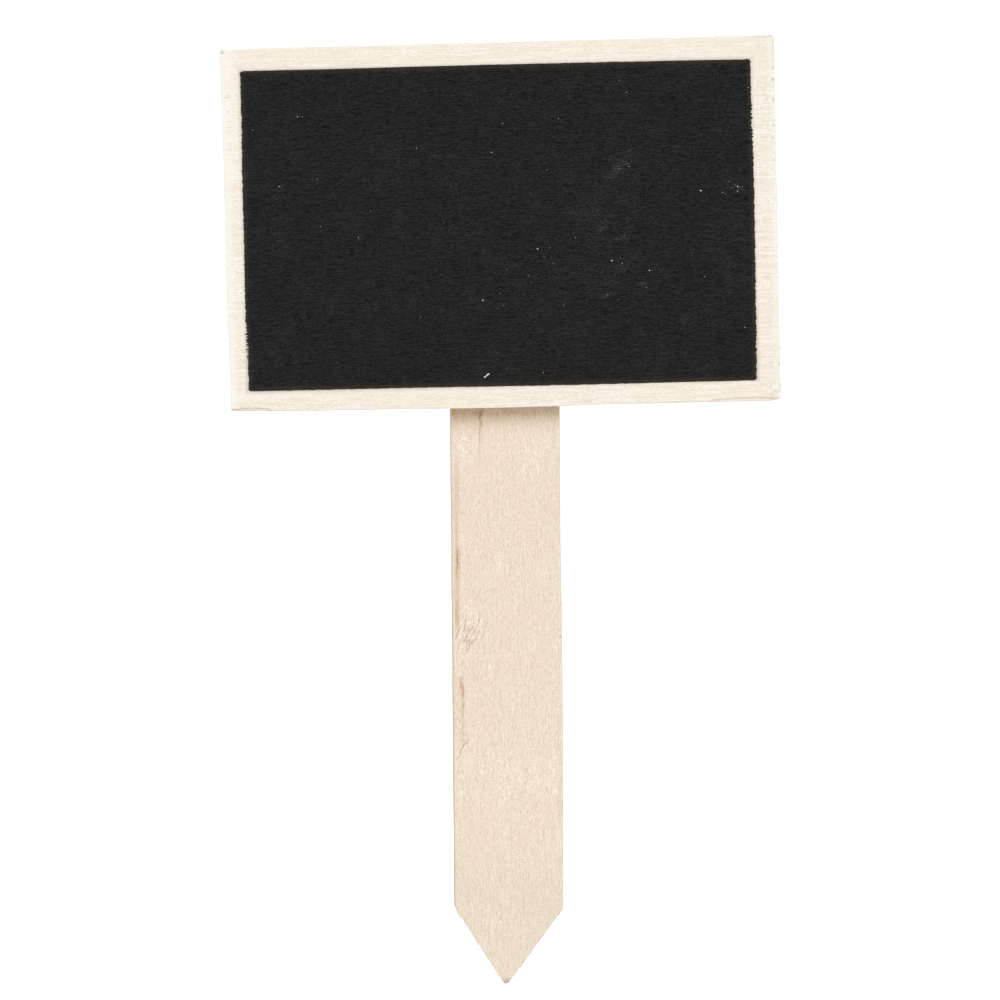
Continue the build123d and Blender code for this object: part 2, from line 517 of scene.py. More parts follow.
pale_flecks = [
    (-1.55, 40.5, 0.32, 0.32, 0.85), (1.4, 38.85, 0.27, 0.36, 1), (1.9, 37, 0.45, 0.32, 0.75),
    (-8.8, 37.7, 0.45, 0.12, 1), (-8.5, 35, 0.54, 0.32, 1), (-4.5, 38.4, 0.27, 0.27, 0.85),
    (4.8, 37.6, 0.54, 0.12, 0.85), (-2.4, 44.7, 0.11, 0.45, 0.85), (5.7, 40.7, 0.13, 0.45, 0.75),
    (4.6, 42.7, 0.32, 0.23, 0.55), (8.4, 34.8, 0.32, 0.27, 0.7), (-1.3, 76, 0.63, 0.63, 0.5),
    (3.2, 93.6, 0.23, 0.63, 0.7),
]
fleck_fields = [
    (-7.6, 98, 2.0, 3.6, 0.6),
    (5, 96.5, 2.2, 4, 0.4),
    (-6.5, 66.5, 2.0, 2.4, 0.6),
    (0, 38, 9.5, 4.5, 0.4),
]

# %% Stains and flecks as values
heart_edge, heart_rim = -8.45 * mm, -9.6 * mm
heart_wander, heart_wander_length = 0.25 * mm, 9 * mm
heart_foot, heart_top = 64 * mm, 92 * mm
streak_wander, streak_wander_length = 0.1 * mm, 0.9 * mm
# The last value darkens the gaps between torn slivers: painted shadow.
heart_warmth, split_warmth, gap_shadow = 0.2, 0.04, 0.6


def heartwood(x, z):
    """A warm stripe along the left edge, between a wandering line and the rim, above the torn patch.

    Above its top it keeps a bit less than a third of its strength.
    """
    line = heart_edge + heart_wander * uneven_line(z / heart_wander_length, 40)
    inside = smoothstep((line - x) / (0.35 * mm)) * smoothstep((x - heart_rim) / (0.4 * mm))
    fade = 1 - 0.7 * smoothstep((z - heart_top) / (4 * mm))
    return inside * smoothstep((z - heart_foot) / (1.5 * mm)) * fade


def stake_stain_and_shade(x, z):
    """Rusty streaks, and painted shadow in the gaps between slivers. Streaks waver and follow the fibres."""
    wavering = x + streak_wander * uneven_line(z / streak_wander_length, 44)
    streaks = spots(wavering, z, streak_and_shade_spots) * (0.8 + 0.8 * fibres(z, x, 1.6 * mm, 0.25 * mm, 41))
    warm = heart_warmth * heartwood(x, z) + split_warmth * split(x, z)
    gap = torn(x, z)[1]
    return np.clip(np.maximum(streaks, gap_shadow * gap) + warm, 0, 1)


def stake_pale_highlight(x, z):
    """Painted highlights where lifted fibres look paler: crests of slivers and the listed flecks."""
    return np.maximum(torn(x, z)[0], spots(x, z, pale_flecks))


def stake_flecked(x, z):
    """The fields in which the material scatters fine flecks of its own."""
    return spots(x, z, fleck_fields)


print(len(streak_and_shade_spots), "streaks and", len(pale_flecks), "flecks")

# %% Build the stake
sawn_arris = 0.06 * mm
sanded_from, sanded_over = 12 * mm, 3 * mm
largest_ease = 0.3

widths = stake_right - stake_left
past_point = smoothstep((stake_heights - sanded_from) / sanded_over)
eased = sawn_arris + (stake_arris - sawn_arris) * past_point
stake_eased = np.minimum(eased, largest_ease * widths)


def level(height):
    """An end that is square across at this height."""
    return lambda x: np.full_like(x, height)


stake_piece = slab(
    "stake_wood",
    (stake_heights - stake_heights[0]) / (stake_heights[-1] - stake_heights[0]),
    stake_columns,
    stake_thinning,
    (stake_left, stake_right, level(stake_heights[0]), level(stake_heights[-1])),
    (np.full_like(widths, stake_low.y), np.full_like(widths, stake_high.y)),
    (stake_eased, stake_eased),
    stake_relief,
    {"stain_and_shade": stake_stain_and_shade, "pale": stake_pale_highlight, "flecked": stake_flecked},
)

# %% [markdown]
# ## The board
#
# Five layers sawn as one: veneer, glue, veneer, glue, veneer. They share one
# outline, a rectangle that the saw left slightly out of square. All of them are
# built upright about the board's own centre and then leant with it. The core and
# the glue are drawn back by some hundredths of a millimetre, as plies wear unevenly.

# %% Seat and outline of the board


def on_board(x, z):
    """From the board's own frame to the object's: turned by the lean about its centre, then put in place."""
    placed_x = board_shift + x * cos(board_lean) - z * sin(board_lean)
    placed_z = board_centre_height + x * sin(board_lean) + z * cos(board_lean)
    return placed_x, placed_z


worn_corner_length = 2.2 * mm
worn_corner_rise = 0.42 * mm
saw_mark = 0.02 * mm
edge_mark_length, end_mark_length = 2.6 * mm, 0.7 * mm
sharp_corner_radius = 0.25 * mm
bottom_bow, bow_half_length = 0.19 * mm, 13 * mm
broken_end = ([-47, -43, -40, -34], [0.25, 0.13, 0.1, 0])
side_waves = ([-33, -24, -12, 0, 13, 24, 33], [0, 0.04, 0.13, 0.11, -0.07, 0, 0])


def saw_marks(place, length, seed):
    """How far a sawn edge is drawn in: random heights of this length, from 0 to twice the depth of a mark."""
    return saw_mark * (1 + uneven_line(place / length, seed))


def board_ends(draw_back, seed):
    """Bottom and top edge as heights over the place across: wander, bow, saw marks and worn corners."""

    def bottom(x):
        """Height of the bottom edge at each place across."""
        into_corner = np.clip((x - board_width / 2) / worn_corner_length + 1, 0, 1)
        straight = -board_height / 2 - bottom_edge_wander * x / board_width
        bow = bottom_bow * np.exp(-((x / bow_half_length) ** 4))
        worn = marked(x, broken_end) + worn_corner_rise * into_corner**2
        return straight - bow + worn + draw_back + saw_marks(x, edge_mark_length, seed)

    def top(x):
        """Height of the top edge at each place across."""
        straight = board_height / 2 + top_edge_wander * x / board_width
        return straight - draw_back - saw_marks(x, edge_mark_length, seed + 1)

    return bottom, top


def board_sides(shares, draw_back, seed):
    """Left and right edge for each ring. The left one waves a little. Corners are rounded by drawing in."""
    height = (shares - 0.5) * board_height
    corner = rounding(np.minimum(shares, 1 - shares) * board_height, sharp_corner_radius)
    left_in = draw_back + saw_marks(height, end_mark_length, seed + 2) + corner
    right_in = draw_back + saw_marks(height, end_mark_length, seed + 3) + corner
    left = -board_width / 2 - left_edge_wander * height / board_height - marked(height, side_waves)
    right = board_width / 2 + right_edge_wander * height / board_height
    return left + left_in, right - right_in


corner = on_board(board_width / 2, board_height / 2)
print("the board's top right corner lies at", *(round(place / mm, 2) for place in corner), "mm")

# %% [markdown]
# ### The face veneer
#
# The bare border shows the grain running across the board, a little washboarded by
# sanding. The sanding block has rounded the two ends more than the long edges, and
# the ends show short dark pores, since there the fibres are cut open. Along the
# bottom edge two thin slivers have come away, one at each corner. Each leaves a
# rebate whose upper edge is brown with glue and with painted shade under the step,
# and whose floor is painted a little darker, as painted shade in the recess.

# %% Slivers missing from the bottom edge
left_chip = (
    [-50.4, -48.5, -47, -45.4, -44, -43, -42.4],
    [0.6, 0.66, 0.76, 0.76, 0.7, 0.6, 0],
)
right_chip = (
    [37, 37.5, 39, 41.2, 42.3, 44.4, 46.6, 47.7, 49.9],
    [0, 0.42, 0.46, 0.65, 0.73, 0.71, 0.63, 0.53, 0.42],
)
left_chip_share, right_chip_share = 0.6, 0.4
chip_depth = 0.18 * mm
chip_raggedness, chip_tear_length, chip_softness = 0.08, 0.9 * mm, 0.12 * mm
# The rim's brown is glue together with painted shade under the rebate's step.
chip_rim_glue_and_shade, chip_rim_width = 0.5, 0.13 * mm


def chip_line(x, chip):
    """Height of a rebate's upper edge above the board's bottom edge, from a few marked heights along it."""
    ragged = 1 + chip_raggedness * uneven_line(x / chip_tear_length, 51)
    return marked(x, chip, left=0, right=0) * ragged


def above_bottom(x, z):
    """Height above the straight bottom edge of the board."""
    return z + board_height / 2 + bottom_edge_wander * x / board_width


def chips(x, z):
    """How deep into the rebates a place is, from 0 to 1, and how near it is to their upper edges."""
    inside, rim = np.zeros_like(x), np.zeros_like(x)
    for chip, depth in ((left_chip, left_chip_share), (right_chip, right_chip_share)):
        line = chip_line(x, chip)
        below = line - above_bottom(x, z)
        real = smoothstep(line / (0.2 * mm))
        inside = np.maximum(inside, depth * real * smoothstep(below / chip_softness + 0.3))
        rim = np.maximum(rim, chip_rim_glue_and_shade * real * np.exp(-((below / chip_rim_width - 0.6) ** 2)))
    return inside, rim


# %% Where pores lie open
end_pores = [
    (-49.2, 24.1, 0.5, 0.13, 0.9), (-49.1, 21.3, 0.2, 0.13, 0.6), (-49.0, 19.8, 0.4, 0.1, 0.5),
    (-49.0, 18.7, 0.25, 0.1, 0.6), (-49.05, 17.7, 0.4, 0.1, 0.6), (-48.9, 15.7, 0.3, 0.1, 0.6),
    (-49.1, 14.6, 0.5, 0.12, 0.7), (-49.9, 32.3, 0.3, 0.33, 1.0), (-48.9, -32.7, 1.7, 0.2, 0.5),
    (47.6, 32.95, 2.2, 0.12, 0.6), (49.5, 32.95, 0.5, 0.18, 1.0), (49.9, 30.3, 0.16, 2.0, 0.45),
    (49.86, 27.2, 0.22, 0.3, 0.8), (49.8, 25.05, 0.28, 0.35, 1.0), (49.75, 21.4, 0.25, 0.3, 0.9),
    (49.7, 16.9, 0.2, 0.4, 0.6), (49.55, 14.4, 0.22, 0.3, 0.7), (49.45, 13.3, 0.2, 0.2, 0.5),
    (49.6, 11.8, 0.2, 0.2, 0.5), (49.66, 10.5, 0.22, 0.25, 0.8), (49.9, -23.5, 0.2, 0.25, 0.6),
    (49.95, -24.8, 0.2, 0.25, 0.6), (49.85, -26.3, 0.25, 0.3, 0.7), (49.0, -31.5, 0.6, 0.12, 0.8),
    (49.9, -31.5, 0.3, 0.14, 0.6), (49.8, -30.6, 0.28, 1.0, 0.4), (48.1, -32.0, 0.3, 0.1, 0.5),
]
random_pore_count = 150


def random_pores(count, seed):
    """Short pores close to the two ends of the board, each one some tenths of a millimetre long."""
    random = np.random.default_rng(seed)
    side = random.choice([-1, 1], count)
    across = side * (board_width / mm / 2 - random.uniform(0.5, 4.2, count))
    up = random.uniform(-0.48, 0.48, count) * board_height / mm
    half_width = random.uniform(0.12, 0.4, count)
    half_length = np.full(count, 0.08)
    return np.stack([across, up, half_width, half_length, random.uniform(0.2, 0.5, count)], axis=-1).tolist()


all_pores = [*end_pores, *random_pores(random_pore_count, 57)]
print(len(all_pores), "pores")

# %% Relief and marks of the face veneer
left_ease_width, left_ease_depth = 0.7 * mm, 0.04 * mm
right_ease_width, right_ease_depth = 0.85 * mm, 0.1 * mm
washboard_depth = 0.012 * mm
pore_depth = 0.05 * mm
# Painted shade: the floor of each rebate is a little darker.
rebate_glue_and_shade = 0.06
# Painted light: the border is painted paler near its edges, a glow over the rim that also lifts the shaded
# bottom arris.
left_glow_width, right_glow_width, bottom_glow_width = 2.5 * mm, 2.2 * mm, 0.5 * mm
right_glow, bottom_glow = 0.4, 0.3
bled_reach = 0.75 * mm


def veneer_relief(x, z):
    """Depth of the veneer's front below its highest fibres: washboard, sanded ends, pores and rebates."""
    washboard = washboard_depth * (1 + fibres(x, z, 8 * mm, 0.55 * mm, 52))
    left_slope = np.clip(1 - (x + board_width / 2) / left_ease_width, 0, 1)
    right_slope = np.clip(1 - (board_width / 2 - x) / right_ease_width, 0, 1)
    eased_ends = left_ease_depth * left_slope + right_ease_depth * right_slope
    return washboard + eased_ends + pore_depth * spots(x, z, all_pores) + chip_depth * chips(x, z)[0]


def veneer_glue_and_shade(x, z):
    """Brown along the upper edge of each rebate, weaker inside it: glue, with painted shade of the step."""
    inside, rim = chips(x, z)
    return np.clip(np.maximum(rim, rebate_glue_and_shade * inside), 0, 1)


def veneer_pores(x, z):
    """Strength of the open pores."""
    return spots(x, z, all_pores)


def veneer_rim_glow(x, z):
    """Painted light: the border grows paler towards its outer edges, most on the left and least at the
    bottom.
    """
    wide = 1 + 0.35 * smoothstep(z / (0.5 * board_height)) + 0.2 * uneven_line(z / (9 * mm), 58)
    left = smoothstep(1 - (x + board_width / 2) / (left_glow_width * wide))
    right = right_glow * smoothstep(1 - (board_width / 2 - x) / right_glow_width)
    bottom = bottom_glow * smoothstep(1 - above_bottom(x, z) / bottom_glow_width)
    return np.max([left, right, bottom], axis=0)


def veneer_bled(x, z):
    """Paint that has crept out from under the print: all beside it, falling as (1 - d/reach)^2 to nothing."""
    aside = np.abs(x - panel_shift) - panel_width / 2
    above = np.abs(z + panel_drop) - panel_height / 2
    return np.clip(1 - np.maximum(aside, above) / bled_reach, 0, 1) ** 2


def flat_layer(x, z):
    """A layer whose front is hidden has no relief and no stain."""
    return np.zeros_like(x)


# %% Build the five layers
film_arris = 0.02 * mm
face_arris = 0.06 * mm
face_rows = graded([0, 0.034, 1], [0.0018, 0.0032])
face_columns = graded([0, 0.075, 0.87, 1], [0.0017, 0.012, 0.0025], 3)
inner_rows = graded([0, 0.02, 0.98, 1], [0.002, 0.01, 0.002])
inner_columns = graded([0, 0.03, 0.97, 1], [0.005, 0.0125, 0.005])
glue_draw_back, core_draw_back = 0.05 * mm, 0.07 * mm


def build_layer(node, name, draw_back, seed):
    """One sawn layer between its own front and back depth; only the outer two have an eased arris."""
    low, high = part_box(node)
    face = node == "face_veneer"
    rows, columns, thinning = (face_rows, face_columns, 3) if face else (inner_rows, inner_columns, 1)
    arris = (face_arris if face else film_arris, board_arris if node == "back_veneer" else film_arris)
    from_end = np.minimum(rows, 1 - rows) * board_height
    depths = (low.y + rounding(from_end, arris[0]), high.y - rounding(from_end, arris[1]))
    outline = (*board_sides(rows, draw_back, seed), *board_ends(draw_back, seed))
    relief = veneer_relief if face else flat_layer
    marks = dict.fromkeys(("stain_and_shade", "pores", "rim_glow", "bled"), flat_layer)
    if face:
        marks = {"stain_and_shade": veneer_glue_and_shade, "pores": veneer_pores, "rim_glow": veneer_rim_glow, "bled": veneer_bled}
    return slab(name, rows, columns, thinning, outline, depths, arris, relief, marks, on_board)


layers = [
    ("face_veneer", "face_veneer_wood", 0, 71),
    ("front_ply_glue", "front_glue_film", glue_draw_back, 75),
    ("core_veneer", "core_veneer_wood", core_draw_back, 79),
    ("rear_ply_glue", "rear_glue_film", glue_draw_back, 83),
    ("back_veneer", "back_veneer_wood", 0, 87),
]
layer_pieces = {layer[0]: build_layer(*layer) for layer in layers}

# %% [markdown]
# ## The chalk coat
#
# The black panel is screened on: paint is pushed through a mesh with a blade. On
# bare wood it creeps along the fibres, so the left and right edges of the print are
# combed into small teeth, while the top and bottom edges, along the grain, stay
# clean. The film is so thin that the grain shows through as a relief. It is a slab
# like the others, with many thin rows, since what matters on it changes up and
# down and hardly across.

# %% Edges of the coat
tooth_height = 0.15 * mm
tooth_contrast = 1.4
jitter_reach, wave_reach = 0.08 * mm, 0.07 * mm
wave_height = 2.2 * tooth_height
left_creep = (
    [-29, -24, -20, -17, -12, 0, 9, 13, 18, 29],
    [-0.23, -0.2, -0.07, 0.03, 0.06, 0.03, 0.07, 0.04, -0.05, 0],
)
right_creep = (
    [-29, -25, -20, -12, -4, 5, 12, 15, 18, 29],
    [-0.12, -0.06, 0.01, 0.04, 0.12, 0.14, 0.12, -0.01, -0.06, -0.02],
)
combed_left = (-20.5, 2.8, 0.33)
combed_right = (16.5, 5.2, 0.2)
right_runs = [
    (27.6, 0.6, 0.07), (23.4, 0.25, 0.08), (21.8, 0.3, 0.09), (20.6, 0.35, 0.15), (19.6, 0.2, 0.09),
    (18.5, 0.25, 0.1), (17.15, 0.45, -0.2), (15.5, 0.45, 0.18), (4.6, 0.4, 0.09), (2.8, 0.2, -0.09),
    (-11.0, 0.4, 0.14), (-17.7, 0.4, 0.15), (-23.6, 0.4, 0.08),
]


def print_edge(z, creep, combed, seed, runs=()):
    """How far the print's edge stands out at each height: a slow creep, single runs, and combed teeth.

    The creep runs straight between a few marked heights. A run is paint that followed one fibre out, or that
    stopped short of it: its place, half width and reach. Teeth are random heights pushed towards their two
    ends, and combed gives their centre, half length and reach. Elsewhere the edge is slightly wavy.
    """
    centre, half_length, tooth_reach = (mm * value for value in combed)
    edge = marked(z, creep)
    for run_height, half_width, run_reach in runs:
        edge = edge + run_reach * mm * np.exp(-(((z - run_height * mm) / (half_width * mm)) ** 2))
    wild = np.exp(-(((z - centre) / half_length) ** 4))
    jitter = uneven_line(z / tooth_height, seed)
    reach = smoothstep(0.5 + tooth_contrast * jitter) - 0.5
    waves = uneven_line(z / wave_height, seed + 20)
    return edge + jitter_reach * jitter + wave_reach * waves + tooth_reach * wild * reach


# %% Relief of the coat
coat_low, coat_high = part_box("chalk_coat")
coat_headroom = 0.045 * mm
telegraphed_pore_depth = 0.02 * mm
telegraphed_washboard_depth = 0.007 * mm
rim_rise, rim_width = 0.006 * mm, 1.2 * mm


def coat_relief(x, z):
    """Depth of the paint's surface: pores along the grain, a soft washboard and a thicker upper rim."""
    pores = smoothstep(2.6 * fibres(x, z, 4 * mm, 0.4 * mm, 61) - 0.6)
    washboard = 0.5 + 0.5 * fibres(x, z, 16 * mm, 1.1 * mm, 63)
    inside_rim = smoothstep((panel_height / 2 - z - rim_width) / (0.4 * mm))
    grain_depth = telegraphed_pore_depth * pores + telegraphed_washboard_depth * washboard
    return coat_headroom + grain_depth + rim_rise * inside_rim


# %% Smeared chalk
chalk_smears = [
    (21.6, 9.7, 40, 2.6, 0.9, 0.8), (21.0, 11.6, 20, 0.9, 0.4, 0.6), (17.5, 2.0, 70, 5.0, 3.0, 0.28),
    (22.0, -8.0, 30, 4.0, 2.0, 0.28), (18.9, -0.4, 50, 2.3, 0.5, 0.8), (22.5, -2.8, 8, 1.7, 0.4, 0.8),
    (13.8, 1.8, -20, 1.0, 0.3, 0.7), (25.9, -11.2, 8, 1.5, 0.4, 0.7), (43.0, 5.7, -15, 1.6, 0.5, 0.8),
    (11.9, 18.2, 70, 0.9, 0.3, 0.6), (30.4, 16.4, 0, 0.7, 0.25, 0.5), (32.4, 13.6, 0, 0.7, 0.25, 0.5),
    (19.4, -13.0, 15, 1.5, 0.4, 0.7), (20.9, -10.4, 88, 2.0, 0.2, 0.6), (-25.4, -1.6, 80, 0.8, 0.3, 0.6),
    (-39.4, 8.0, 10, 1.1, 0.35, 0.5), (-35.7, 20.5, 5, 0.7, 0.3, 0.6),
]


def smeared(x, z):
    """Where chalk is smeared: the strongest of the spots exp(-(a/l)^2 - (b/w)^2), each turned to its angle.

    A smear is its centre, its angle in degrees, its half length and half width, and its force.
    """
    strongest = np.zeros_like(x)
    for centre_x, centre_z, angle, half_length, half_width, force in chalk_smears:
        dx, dz = x - centre_x * mm, z - centre_z * mm
        across, up = cos(radians(angle)), sin(radians(angle))
        along = dx * across + dz * up
        aside = dz * across - dx * up
        spot = np.exp(-((along / (half_length * mm)) ** 2) - (aside / (half_width * mm)) ** 2)
        strongest = np.maximum(strongest, force * spot)
    return strongest


def on_panel(x, z):
    """From the panel's own frame to the object's: shifted to its place on the board, then leant with it."""
    return on_board(x + panel_shift, z - panel_drop)


# %% Build the coat
coat_thinning = 14
coat_stops = np.array([-0.5, -0.42, -0.28, 0.2, 0.39, 0.5]) * panel_height
coat_steps = np.array([0.15, 0.08, 0.2, 0.08, 0.17]) * mm
coat_heights = graded(coat_stops, coat_steps)
coat_columns = graded([0, 0.01, 0.99, 1], [0.001, 0.0068, 0.001], coat_thinning)
coat_corner = rounding(panel_height / 2 - np.abs(coat_heights), panel_corner_radius)
coat_spread = panel_right_wander * coat_heights / panel_height
print_margin = 0.03 * mm
coat_side, coat_rise = panel_width / 2 - print_margin, panel_height / 2 - print_margin
coat_arris = (0.012 * mm, 0.004 * mm)
bottom_bulge, top_bulge = (11, 18, -0.1), (5.5, 24, 0.1)
end_unevenness, end_step = 0.05 * mm, 0.5 * mm


def coat_end(height, slope, bulge, seed):
    """The print's top or bottom edge: out of square by the slope, finely uneven, and raised by a bulge.

    The bulge is given as its place across, its half width and its height.
    """
    centre, half_width, rise = (mm * value for value in bulge)

    def edge(x):
        """Height of this edge at each place across."""
        raised = rise * np.exp(-(((x - centre) / half_width) ** 4))
        return height + slope * x + raised + end_unevenness * uneven_line(x / end_step, seed)

    return edge


coat_left = -coat_side - print_edge(coat_heights, left_creep, combed_left, 65) + coat_corner
coat_right = coat_side + coat_spread + print_edge(coat_heights, right_creep, combed_right, 66, right_runs)
coat_bottom = coat_end(-coat_rise, -panel_bottom_wander / panel_width, bottom_bulge, 67)
coat_top = coat_end(coat_rise, 0, top_bulge, 68)
coat_piece = slab(
    "chalk_coat_paint",
    coat_heights / panel_height + 0.5,
    coat_columns,
    coat_thinning,
    (coat_left, coat_right - coat_corner, coat_bottom, coat_top),
    (np.full_like(coat_heights, coat_low.y), np.full_like(coat_heights, coat_high.y)),
    coat_arris,
    coat_relief,
    {"smear": smeared},
    on_panel,
)

# %% [markdown]
# ## Crumbs of chalk
#
# A label that has been handled holds a few crumbs. Painted dots would vanish in a
# low light, so each crumb is a tiny dome with a lumpy rim: two hexagons and a top.
# One dome is described once, and arrays copy it to every place with its own size,
# turn, stretch and tone.

# %% Where the crumbs lie
marked_crumbs = [
    (-36, 20.6, 20, 0.1, 0.06, 0.6), (-35.1, 20.55, 0, 0.06, 0.05, 0.45), (-44.2, 18.3, 60, 0.1, 0.06, 0.7),
    (-32.7, 9.15, 100, 0.2, 0.05, 0.3), (-39.6, 8, 10, 0.14, 0.08, 0.8), (-40.2, 5.7, 0, 0.06, 0.05, 0.4),
    (-23.2, 3.1, 80, 0.16, 0.06, 0.15), (-32.3, 0.6, 5, 0.18, 0.05, 0.4),
    (-25.5, -1.55, 85, 0.2, 0.06, 0.35), (-14.6, 14.3, 10, 0.12, 0.06, 0.5),
    (-11.2, 12.8, 40, 0.07, 0.05, 0.3), (-1, 13.25, 10, 0.18, 0.07, 0.45),
    (1.1, 18.45, 10, 0.18, 0.07, 0.3), (11.25, 19.1, 70, 0.15, 0.06, 0.3), (8.9, 9.9, 20, 0.12, 0.07, 0.4),
    (22.45, 25.7, 10, 0.1, 0.06, 0.4), (45.8, 23.9, 70, 0.12, 0.08, 0.4), (23.7, 23.55, 0, 0.07, 0.07, 0.9),
    (23.85, 13, 0, 0.09, 0.07, 0.35), (23.6, 10.6, 0, 0.06, 0.05, 0.6), (23.8, 10.12, 20, 0.07, 0.06, 0.9),
    (21.9, 9.6, 40, 0.09, 0.07, 0.35), (36.7, 5.45, 0, 0.17, 0.13, 1), (43.4, 6.05, 40, 0.16, 0.1, 1),
    (43.75, 5.85, 0, 0.09, 0.07, 0.4), (44.25, 6, 0, 0.08, 0.06, 0.2), (43.4, 5.15, 0, 0.1, 0.08, 0.75),
    (43, 6.4, 0, 0.07, 0.06, 0.25), (41.8, 6.97, 0, 0.08, 0.06, 0.5), (40.65, 5, 30, 0.09, 0.06, 0.75),
    (41.2, 4.8, 0, 0.06, 0.05, 0.4), (22.7, -2.2, 0, 0.06, 0.05, 0.45), (6.9, -4.4, 0, 0.19, 0.14, 0.4),
    (9.1, -4.25, 0, 0.1, 0.06, 0.25), (-2.9, -4.5, 0, 0.06, 0.06, 0.3), (13.85, -2.5, 0, 0.08, 0.07, 0.5),
    (20.3, -6.85, 20, 0.16, 0.1, 1), (21.9, -6.35, 0, 0.07, 0.06, 0.3), (22.15, -7.4, 75, 0.17, 0.07, 0.35),
    (9.7, -7.1, 0, 0.08, 0.07, 0.3), (27.1, -8.8, 0, 0.135, 0.11, 1), (1.25, -8, 0, 0.09, 0.06, 0.55),
    (5.1, -9.2, 0, 0.08, 0.06, 0.75), (37.05, -10.15, 15, 0.09, 0.05, 0.6),
    (5.7, -10.5, 0, 0.08, 0.07, 0.3), (26.5, -11.85, 10, 0.1, 0.06, 0.65),
    (-0.1, -12.3, 10, 0.1, 0.06, 0.45), (19.35, -13.05, 0, 0.13, 0.1, 0.3),
    (-3.25, -13.5, 0, 0.145, 0.11, 1), (21.35, -13.9, 0, 0.09, 0.07, 0.3),
    (11.35, -14.7, 60, 0.1, 0.07, 0.35), (0.5, -14.5, 0, 0.07, 0.06, 0.25),
    (-14.6, -16.3, 0, 0.1, 0.07, 0.3), (44.1, -19.55, 0, 0.1, 0.08, 0.5), (-2.6, -26.95, 20, 0.32, 0.15, 1),
    (-2.9, -27.15, 45, 0.26, 0.12, 1), (-3.2, -27.38, 15, 0.24, 0.12, 1), (7.45, -26.85, 0, 0.08, 0.07, 1),
    (0.8, -25.9, 0, 0.06, 0.05, 0.3),
]
stray_crumb_count = 12
stray_centre, stray_spread = (14, 3), (13, 9)


def crumb_places(random):
    """The marked crumbs and a loose cloud of strays.

    The columns are the place across and up, the angle, half length and half width, and the tone.
    """
    strays = np.zeros((stray_crumb_count, 6))
    strays[:, :2] = random.normal(0, 1, (stray_crumb_count, 2)) * stray_spread + stray_centre
    strays[:, 2] = random.uniform(0, 180, stray_crumb_count)
    strays[:, 3:5] = random.uniform(0.04, 0.07, (stray_crumb_count, 2))
    strays[:, 5] = random.uniform(0.1, 0.3, stray_crumb_count)
    inside = np.abs(strays[:, :2] * mm) < (0.48 * panel_width, 0.48 * panel_height)
    return np.concatenate([marked_crumbs, strays[inside.all(axis=1)]])


# %% Shape of the crumbs
crumb_sides = 6
crumb_thickness, crumb_sink = 0.03 * mm, 0.01 * mm
shoulder_width, shoulder_rise = 0.6, 0.75


def crumb_points(places, random):
    """Points of all crumbs: a hexagon at the foot, a smaller one above and a top, stretched and turned."""
    across, up, angle, half_length, half_width, tone = (column[:, None] for column in places.T)
    turn = np.arange(crumb_sides) * 2 * pi / crumb_sides
    lumps = random.uniform(0.75, 1.2, (len(places), 2 * crumb_sides))
    ring = np.concatenate([turn, turn])
    spread = np.repeat([1.0, shoulder_width], crumb_sides) * lumps
    along = np.concatenate([half_length * spread * np.cos(ring), 0 * across], axis=1) * mm
    aside = np.concatenate([half_width * spread * np.sin(ring), 0 * across], axis=1) * mm
    rise = np.repeat([0.0, shoulder_rise, 1.0], [crumb_sides, crumb_sides, 1]) * crumb_thickness
    tilt = np.radians(angle)
    x = across * mm + along * np.cos(tilt) - aside * np.sin(tilt)
    z = up * mm + along * np.sin(tilt) + aside * np.cos(tilt)
    return x, z, np.broadcast_to(rise, x.shape), np.broadcast_to(tone, x.shape)


def crumb_faces(count):
    """A band of quads between the two hexagons, a fan to the top and one hexagon below, for each crumb."""
    ring = np.arange(crumb_sides)
    after = np.roll(ring, -1)
    top = 2 * crumb_sides
    band = np.stack([ring, after, after + crumb_sides, ring + crumb_sides], axis=-1).tolist()
    fan = [[a + crumb_sides, b + crumb_sides, top] for a, b in zip(ring.tolist(), after.tolist())]
    one = [*band, *fan, ring[::-1].tolist()]
    return [[i + n * (top + 1) for i in face] for n in range(count) for face in one]


random = np.random.default_rng(7)
places = crumb_places(random)
crumb_x, crumb_z, crumb_rise, crumb_tone = crumb_points(places, random)
crumb_x, crumb_z = on_panel(crumb_x, crumb_z)
crumb_y = coat_low.y + coat_headroom + crumb_sink - crumb_rise
crumb_corners = np.stack([crumb_x, crumb_y, crumb_z], axis=-1)
crumbs_piece = finished_piece("chalk_crumbs", crumb_corners, crumb_faces(len(places)), {"tone": crumb_tone})

# %% [markdown]
# ## Shader helpers
#
# Materials are trees of nodes. Placing nodes by hand is slow to read, so small
# helpers do it: one adds a node and fills its inputs with numbers or with other
# nodes' outputs, others are shorthand for arithmetic and mixing, and one makes a
# group with named inputs and outputs. An effect that several finishes share, such
# as grain, becomes a group and is built once.

# %% Helpers that place nodes


def fill(tree, made, inputs):
    """Sets a node's inputs by name or number. A socket given as a value is linked."""
    for key, value in inputs.items():
        if isinstance(value, bpy.types.NodeSocket):
            tree.links.new(value, made.inputs[key])
        else:
            made.inputs[key].default_value = value


def place(tree, kind, inputs=None, out=0, **settings):
    """Adds a node with its settings and inputs and returns one of its outputs."""
    made = tree.nodes.new(kind)
    for key, value in settings.items():
        setattr(made, key, value)
    fill(tree, made, inputs or {})
    return made.outputs[out]


def maths(tree, operation, a, b):
    """One arithmetic step on two numbers or sockets."""
    return place(tree, "ShaderNodeMath", {0: a, 1: b}, operation=operation)


def remap(tree, value, low, high, new_low=0.0, new_high=1.0):
    """Stretches a value from one range to another and stops at its ends."""
    numbers = {"From Min": low, "From Max": high, "To Min": new_low, "To Max": new_high}
    return place(tree, "ShaderNodeMapRange", {"Value": value, **numbers})


def blend(tree, share, first, second):
    """Mixes two colours by a share from 0 to 1."""
    return place(tree, "ShaderNodeMix", {0: share, 6: first, 7: second}, out=2, data_type="RGBA")


